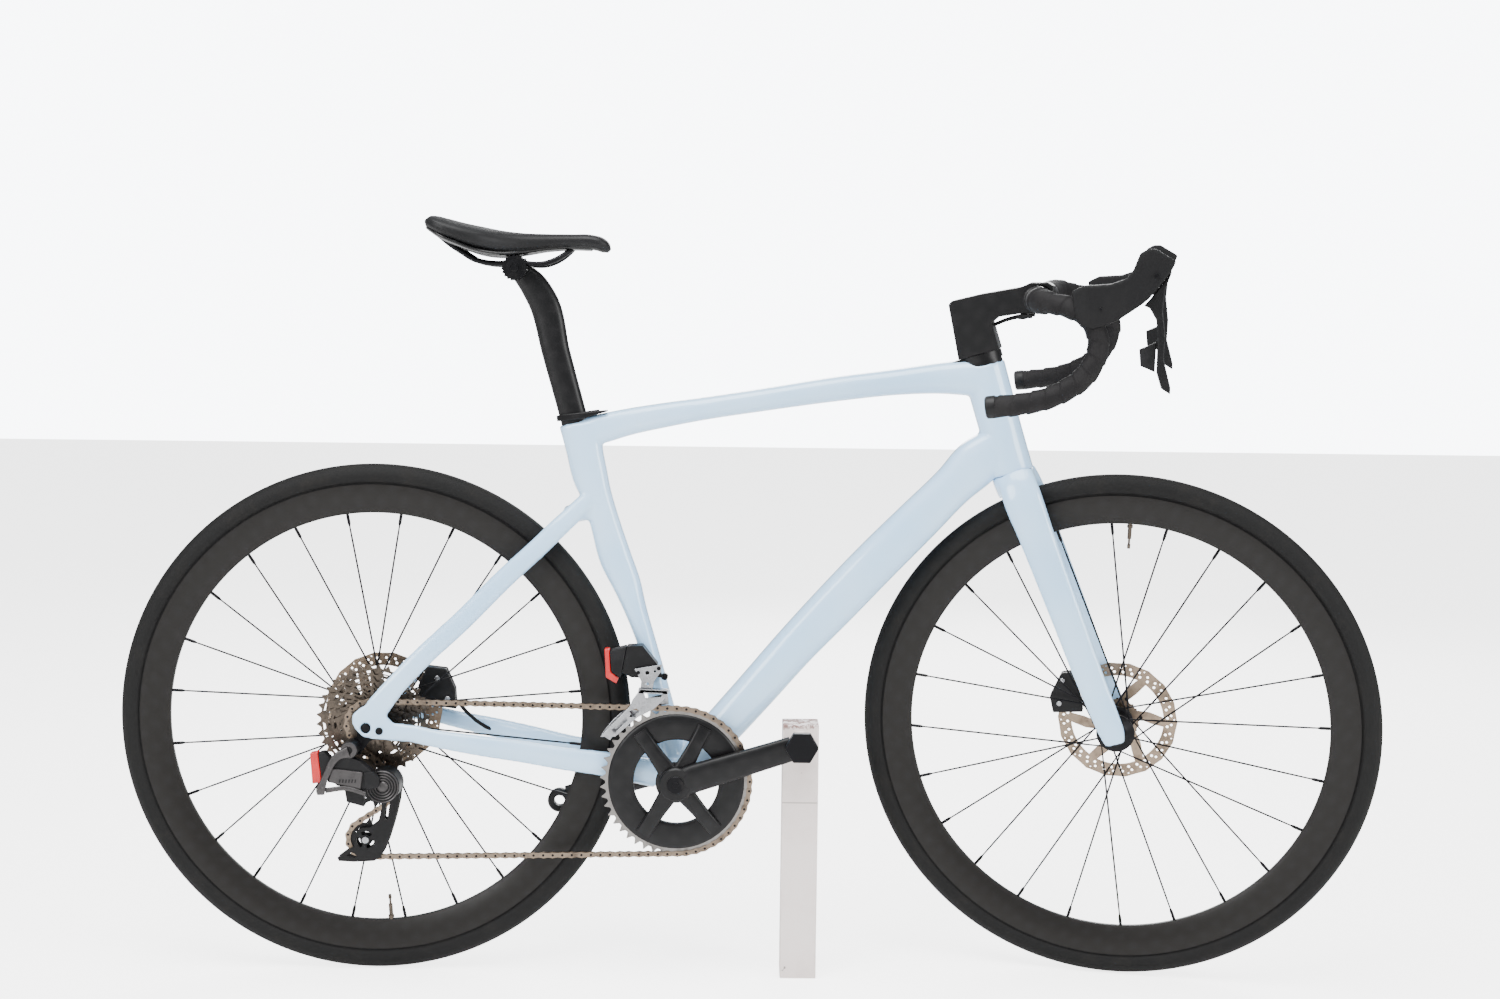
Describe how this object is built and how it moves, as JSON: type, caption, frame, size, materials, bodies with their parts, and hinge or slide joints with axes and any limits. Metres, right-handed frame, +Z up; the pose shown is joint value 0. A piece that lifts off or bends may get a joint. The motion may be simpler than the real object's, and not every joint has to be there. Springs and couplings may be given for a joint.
{
  "type": "bicycle on stand",
  "caption": "Road bicycle with drop handlebar, disc brakes and electronic gears, held upright by a square post bolted to its right crank arm.",
  "frame": {"origin": "centre of the square post's foot, on the floor", "axes": "+X forward along the bicycle, +Y to the rider's left, +Z up"},
  "size_m": [1.6607, 0.4862, 1.0055],
  "materials": {
    "frame_paint": "gloss lacquer over pale blue paint on carbon fibre",
    "carbon": "satin lacquered carbon fibre",
    "black_plastic": "matt",
    "rubber": "matt",
    "tyre": "matt",
    "steel": "used, slightly brown",
    "silver": "polished",
    "dark_metal": "black anodised",
    "red_plastic": "gloss",
    "post_paint": "matt, chipped at the top edge",
    "saddle_skin": "matt"
  },
  "bodies": {
    "frame": {"front_triangle": "frame_paint", "seat_stays": "frame_paint", "chain_stays": "frame_paint", "seat_clamp_cover": "carbon", "headset_cover": "carbon", "headset_bearing_upper": "steel", "headset_bearing_lower": "steel", "bottom_bracket": "dark_metal", "derailleur_hanger": "dark_metal", "rear_axle": "dark_metal", "rear_brake_caliper": "black_plastic", "rear_brake_hose": "rubber", "front_mech_cage": "silver", "front_mech_body": "black_plastic", "front_mech_battery": "black_plastic", "front_mech_latch": "red_plastic", "rear_mech_body": "black_plastic", "rear_mech_battery": "black_plastic", "rear_mech_latch": "red_plastic", "rear_mech_cage_outer": "black_plastic", "rear_mech_cage_inner": "black_plastic", "chain": "steel"},
    "seat": {"seatpost": "carbon", "saddle_clamp": "dark_metal", "saddle_rails": "dark_metal", "saddle_cover": "saddle_skin", "saddle_shell": "carbon"},
    "steering": {"fork": "frame_paint", "stem": "carbon", "stem_faceplate": "carbon", "handlebar": "carbon", "bar_tape_right": "rubber", "bar_tape_left": "rubber", "hood_right": "rubber", "hood_left": "rubber", "control_hoses": "rubber", "front_brake_caliper": "black_plastic", "front_axle": "dark_metal"},
    "right_lever": {"brake_lever_right": "carbon"},
    "left_lever": {"brake_lever_left": "carbon"},
    "right_paddle": {"shift_paddle_right": "black_plastic"},
    "left_paddle": {"shift_paddle_left": "black_plastic"},
    "front_wheel": {"front_rim": "carbon", "front_tyre": "tyre", "front_hub": "dark_metal", "front_rotor": "steel"},
    "rear_wheel": {"rear_rim": "carbon", "rear_tyre": "tyre", "rear_hub": "dark_metal", "rear_rotor": "steel"},
    "sprockets": {"freehub_body": "dark_metal", "cassette": "steel"},
    "crankset": {"crank_arm_right": "carbon", "crank_arm_left": "carbon", "chainring_large": "dark_metal", "chainring_small": "dark_metal", "stand_bolt": "dark_metal"},
    "guide_wheel": {"guide_pulley": "black_plastic"},
    "tension_wheel": {"tension_pulley": "black_plastic"},
    "stand": {"stand_post": "post_paint"}
  },
  "joints": [
    {"name": "steering", "type": "hinge", "parent": "frame", "child": "steering", "pos_m": [0.38085, 0.012, 0.3275], "axis": [-0.284, 0, 0.9588], "range_deg": [-31, 58]},
    {"name": "front_wheel_spin", "type": "hinge", "parent": "steering", "child": "front_wheel", "pos_m": [0.42193, 0.00198, 0.33967], "axis": [0.2183, 0.9737, 0.0647], "continuous": true},
    {"name": "rear_wheel_spin", "type": "hinge", "parent": "frame", "child": "rear_wheel", "pos_m": [-0.56696, 0.012, 0.34], "axis": [0, 1, 0], "continuous": true},
    {"name": "crank_spin", "type": "hinge", "parent": "frame", "child": "crankset", "pos_m": [-0.16396, 0.012, 0.268], "axis": [0, 1, 0], "continuous": true},
    {"name": "sprocket_spin", "type": "hinge", "parent": "frame", "child": "sprockets", "pos_m": [-0.56696, -0.036, 0.34], "axis": [0, 1, 0], "continuous": true},
    {"name": "guide_pulley_spin", "type": "hinge", "parent": "frame", "child": "guide_wheel", "pos_m": [-0.55596, -0.036, 0.256], "axis": [0, 1, 0], "continuous": true},
    {"name": "tension_pulley_spin", "type": "hinge", "parent": "frame", "child": "tension_wheel", "pos_m": [-0.57196, -0.036, 0.187], "axis": [0, 1, 0], "continuous": true},
    {"name": "right_brake_lever", "type": "hinge", "parent": "steering", "child": "right_lever", "pos_m": [0.42185, -0.24676, 0.93084], "axis": [0.2183, 0.9737, 0.0647], "range_deg": [0, 15], "stiffness_Nm_per_rad": 1.5, "springref_deg": -11.46},
    {"name": "left_brake_lever", "type": "hinge", "parent": "steering", "child": "left_lever", "pos_m": [0.51092, 0.15052, 0.95722], "axis": [0.2183, 0.9737, 0.0647], "range_deg": [0, 15], "stiffness_Nm_per_rad": 1.5, "springref_deg": -11.46},
    {"name": "right_shift_paddle", "type": "hinge", "parent": "right_lever", "child": "right_paddle", "pos_m": [0.41085, -0.2378, 0.83313], "axis": [0.0072, 0.0647, -0.9979], "range_deg": [0, 8], "stiffness_Nm_per_rad": 0.3, "springref_deg": -5.73},
    {"name": "left_shift_paddle", "type": "hinge", "parent": "left_lever", "child": "left_paddle", "pos_m": [0.49991, 0.15948, 0.85952], "axis": [-0.0072, -0.0647, 0.9979], "range_deg": [0, 8], "stiffness_Nm_per_rad": 0.3, "springref_deg": -5.73},
    {"name": "seatpost_height", "type": "slide", "parent": "frame", "child": "seat", "axis": [-0.2659, 0, 0.964], "range_m": [-0.02, 0.03]},
    {"name": "stand_release", "type": "slide", "parent": "frame", "child": "stand", "axis": [0, 0, -1], "range_m": [0, 0.34]}
  ],
  "couplings": [
    {"joint": "sprocket_spin", "follows": "crank_spin", "ratio": 3.2},
    {"joint": "guide_pulley_spin", "follows": "crank_spin", "ratio": -4},
    {"joint": "tension_pulley_spin", "follows": "crank_spin", "ratio": 4}
  ]
}
